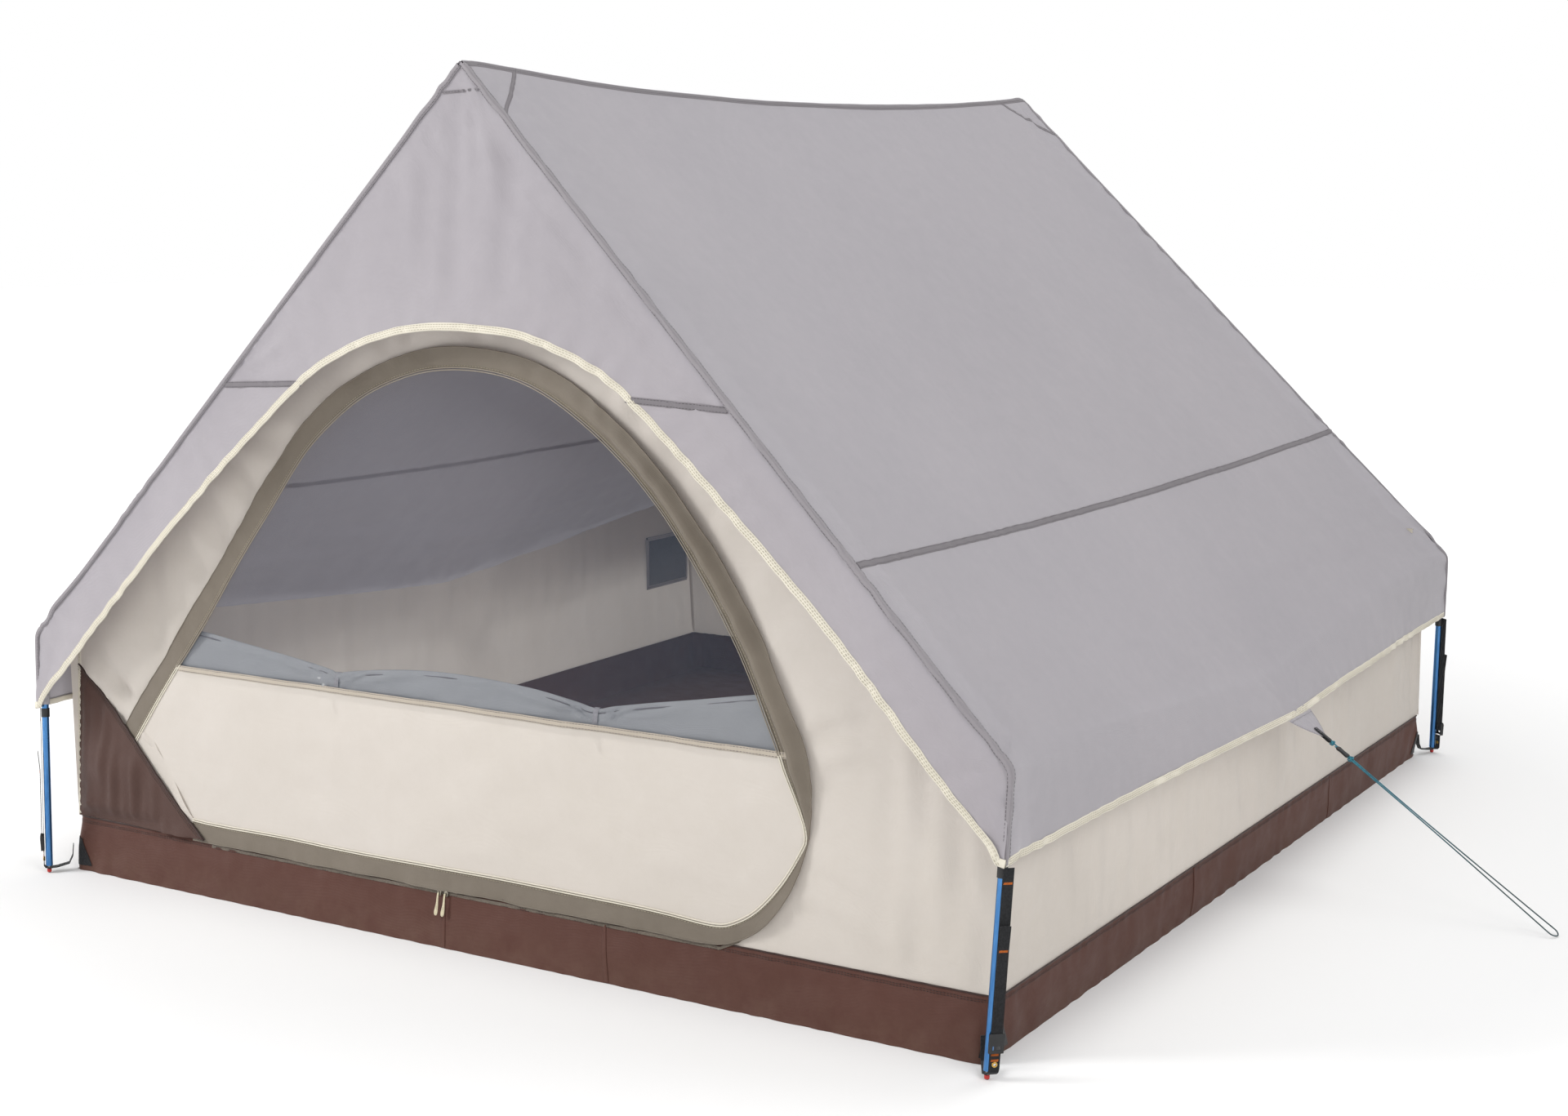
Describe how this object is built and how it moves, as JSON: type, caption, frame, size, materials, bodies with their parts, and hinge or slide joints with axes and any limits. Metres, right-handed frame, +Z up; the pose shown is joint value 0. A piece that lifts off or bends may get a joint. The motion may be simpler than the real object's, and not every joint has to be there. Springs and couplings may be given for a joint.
{
  "type": "a-frame camping tent",
  "caption": "Pitched A-frame tent: ridge roof fly on bent metal hoops, beige body with brown tub floor, D-shaped mesh door, side guy line.",
  "frame": {"origin": "on the ground, midway between the four pole feet", "axes": "+Z up, +X to the right across the front as seen by someone facing the door, -Y out through the door end"},
  "size_m": [3.2986, 2.7726, 1.83],
  "materials": {
    "black_plastic": "moulded black",
    "pole_metal": "blue anodised tube",
    "pin_steel": "bare pin, red tip",
    "elbow_steel": "bare bent tube",
    "black_webbing": "woven webbing",
    "fly_fabric": "lilac-grey coated polyester",
    "gable_fabric": "lilac-grey coated polyester",
    "floor_fabric": "brown woven sheet, slight sheen",
    "wall_fabric": "beige polyester",
    "mesh_fabric": "fine insect mesh",
    "flap_fabric": "grey polyester, rolled",
    "band_fabric": "taupe polyester",
    "zip_coil": "nylon coil",
    "zip_metal": "cast slider",
    "pull_cord": "cream tape",
    "stow_fabric": "dark brown polyester",
    "pocket_fabric": "blue-grey polyester",
    "guy_cord": "braided cord"
  },
  "bodies": {
    "tent": {"front_apex_hub": "black_plastic", "front_left_leg": "pole_metal", "front_left_foot_pin": "pin_steel", "front_left_elbow": "elbow_steel", "front_left_rafter": "pole_metal", "front_left_tension_strap": "black_webbing", "front_left_corner_tab": "black_webbing", "front_left_pole_clip": "black_webbing", "front_right_leg": "pole_metal", "front_right_foot_pin": "pin_steel", "front_right_elbow": "elbow_steel", "front_right_rafter": "pole_metal", "front_right_tension_strap": "black_webbing", "front_right_corner_tab": "black_webbing", "front_right_pole_clip": "black_webbing", "rear_apex_hub": "black_plastic", "rear_left_leg": "pole_metal", "rear_left_foot_pin": "pin_steel", "rear_left_elbow": "elbow_steel", "rear_left_rafter": "pole_metal", "rear_left_tension_strap": "black_webbing", "rear_left_corner_tab": "black_webbing", "rear_left_pole_clip": "black_webbing", "rear_right_leg": "pole_metal", "rear_right_foot_pin": "pin_steel", "rear_right_elbow": "elbow_steel", "rear_right_rafter": "pole_metal", "rear_right_tension_strap": "black_webbing", "rear_right_corner_tab": "black_webbing", "rear_right_pole_clip": "black_webbing", "ridge_pole_front": "pole_metal", "ridge_pole_rear": "pole_metal", "fly_left_roof": "fly_fabric", "fly_right_roof": "fly_fabric", "fly_front_gable": "gable_fabric", "fly_rear_gable": "gable_fabric", "floor_tub": "floor_fabric", "front_wall": "wall_fabric", "rear_wall": "wall_fabric", "left_wall": "wall_fabric", "right_wall": "wall_fabric", "door_hinge_gusset": "band_fabric", "door_zip_track": "zip_coil", "guy_tab_left": "fly_fabric", "guy_tab_right": "fly_fabric", "door_stow_pocket": "stow_fabric", "gear_pocket": "pocket_fabric", "guy_line": "guy_cord"},
    "door": {"door_panel": "wall_fabric", "door_mesh_window": "mesh_fabric", "door_rolled_flap": "flap_fabric"},
    "zip_slider_left": {"zip_slider_left": "zip_metal"},
    "zip_slider_right": {"zip_slider_right": "zip_metal"},
    "zip_pull_left": {"zip_pull_left": "pull_cord"},
    "zip_pull_right": {"zip_pull_right": "pull_cord"},
    "guy_tensioner": {"guy_tensioner": "black_plastic"},
    "front_left_lock": {"front_left_ladder_lock": "black_plastic"},
    "front_right_lock": {"front_right_ladder_lock": "black_plastic"},
    "rear_left_lock": {"rear_left_ladder_lock": "black_plastic"},
    "rear_right_lock": {"rear_right_ladder_lock": "black_plastic"}
  },
  "joints": [
    {"name": "door_swing", "type": "hinge", "parent": "tent", "child": "door", "pos_m": [-0.78, -1.29916, 0.119], "axis": [0, -0.0666, -0.9978], "range_deg": [0, 105]},
    {"name": "zip_left_run", "type": "slide", "parent": "door", "child": "zip_slider_left", "axis": [-1, 0, 0], "range_m": [0, 0.6]},
    {"name": "zip_right_run", "type": "slide", "parent": "door", "child": "zip_slider_right", "axis": [1, 0, 0], "range_m": [0, 0.65]},
    {"name": "zip_pull_left_swing", "type": "hinge", "parent": "zip_slider_left", "child": "zip_pull_left", "pos_m": [-0.096, -1.30413, 0.113], "axis": [-1, 0, 0], "range_deg": [0, 150]},
    {"name": "zip_pull_right_swing", "type": "hinge", "parent": "zip_slider_right", "child": "zip_pull_right", "pos_m": [-0.078, -1.30413, 0.113], "axis": [-1, 0, 0], "range_deg": [0, 150]},
    {"name": "tensioner_run", "type": "slide", "parent": "tent", "child": "guy_tensioner", "axis": [0.8377, -0.1585, -0.5226], "range_m": [0, 0.14]},
    {"name": "front_left_lock_run", "type": "slide", "parent": "tent", "child": "front_left_lock", "axis": [-0.0365, 0.0747, 0.9965], "range_m": [0, 0.12]},
    {"name": "front_right_lock_run", "type": "slide", "parent": "tent", "child": "front_right_lock", "axis": [0.0365, 0.0747, 0.9965], "range_m": [0, 0.12]},
    {"name": "rear_left_lock_run", "type": "slide", "parent": "tent", "child": "rear_left_lock", "axis": [-0.0365, -0.0747, 0.9965], "range_m": [0, 0.12]},
    {"name": "rear_right_lock_run", "type": "slide", "parent": "tent", "child": "rear_right_lock", "axis": [0.0365, -0.0747, 0.9965], "range_m": [0, 0.12]}
  ]
}
